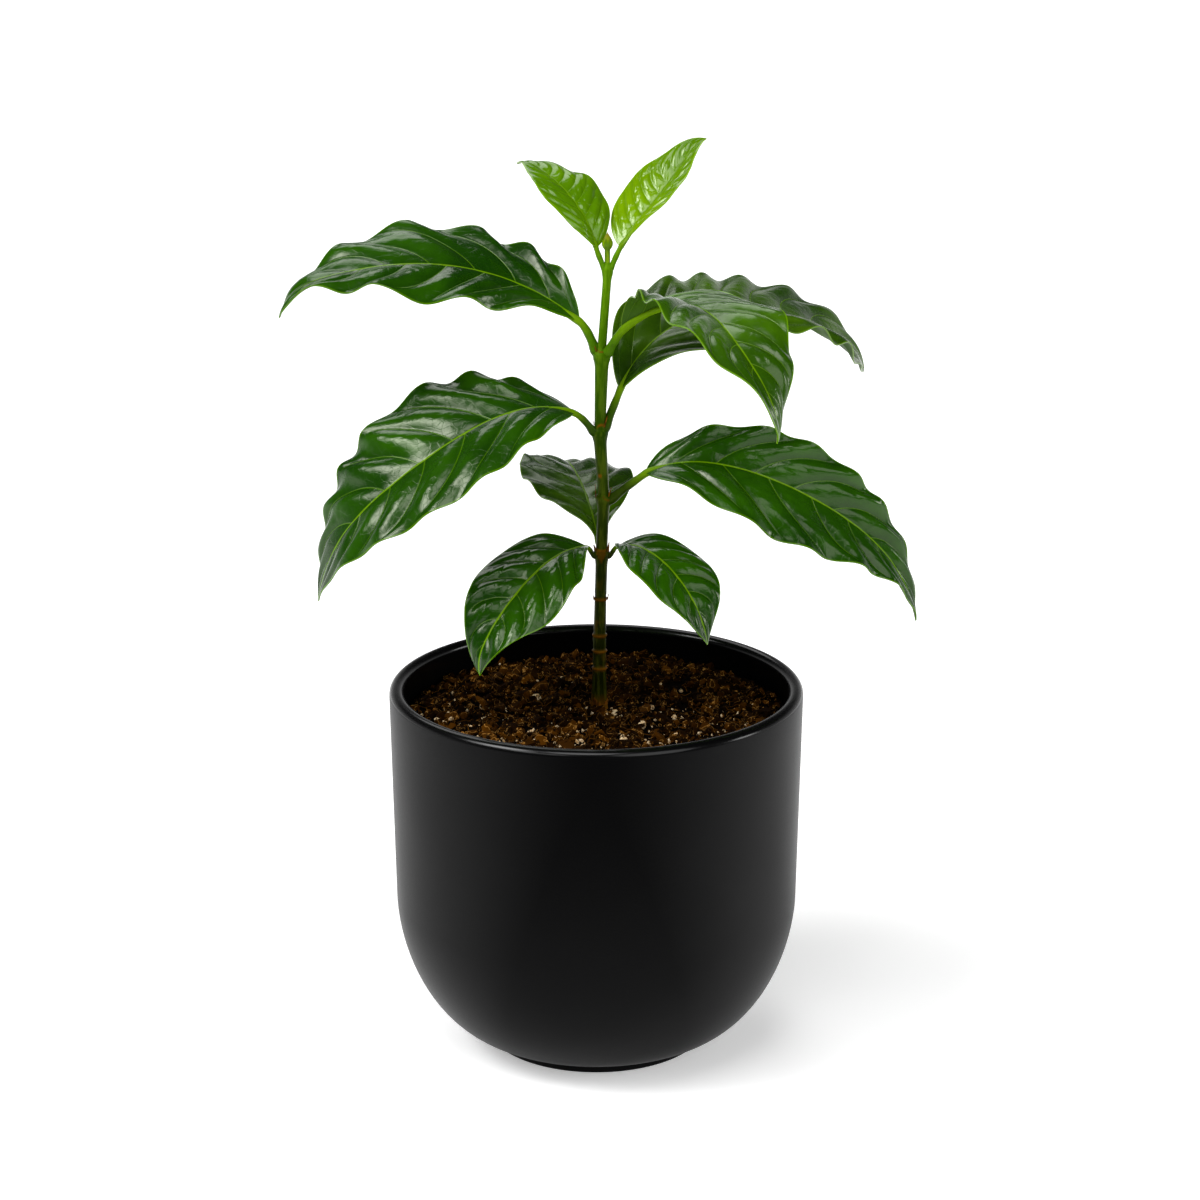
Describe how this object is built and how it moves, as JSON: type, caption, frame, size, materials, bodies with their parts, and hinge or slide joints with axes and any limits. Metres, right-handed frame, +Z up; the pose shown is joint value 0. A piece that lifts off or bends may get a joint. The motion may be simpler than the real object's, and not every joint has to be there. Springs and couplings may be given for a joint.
{
  "type": "potted coffee plant",
  "caption": "Young coffee plant with an upright green stem and glossy wavy leaves in pairs, growing from bark soil in a round-bottomed black ceramic pot.",
  "frame": {"origin": "centre of the flat underside of the pot's foot", "axes": "+Z up along the pot's axis, -Y towards the front, +X to the right seen from the front"},
  "size_m": [0.1727, 0.1276, 0.2528],
  "materials": {
    "pot_glaze": "satin black ceramic",
    "soil": "loose dark potting soil with bark chips and pale perlite",
    "stem": "smooth green bark, brown towards the soil",
    "bud": "smooth yellow-green",
    "petioles": "smooth green",
    "young_leaves": "glossy bright yellow-green",
    "mature_leaves": "glossy deep green with a pale midrib"
  },
  "bodies": {
    "root": {"pot": "pot_glaze", "soil": "soil", "stem": "stem", "bud": "bud", "petiole_top_left": "petioles", "petiole_top_right": "petioles", "petiole_upper_left": "petioles", "petiole_upper_right": "petioles", "petiole_middle_left": "petioles", "petiole_middle_right": "petioles", "petiole_lower_right": "petioles", "petiole_low_left": "petioles", "petiole_low_right": "petioles", "petiole_low_rear": "petioles", "leaf_top_left": "young_leaves", "leaf_top_right": "young_leaves", "leaf_upper_left": "mature_leaves", "leaf_upper_right": "mature_leaves", "leaf_middle_left": "mature_leaves", "leaf_middle_right": "mature_leaves", "leaf_lower_right": "mature_leaves", "leaf_low_left": "mature_leaves", "leaf_low_right": "mature_leaves", "leaf_low_rear": "mature_leaves"}
  },
  "joints": []
}
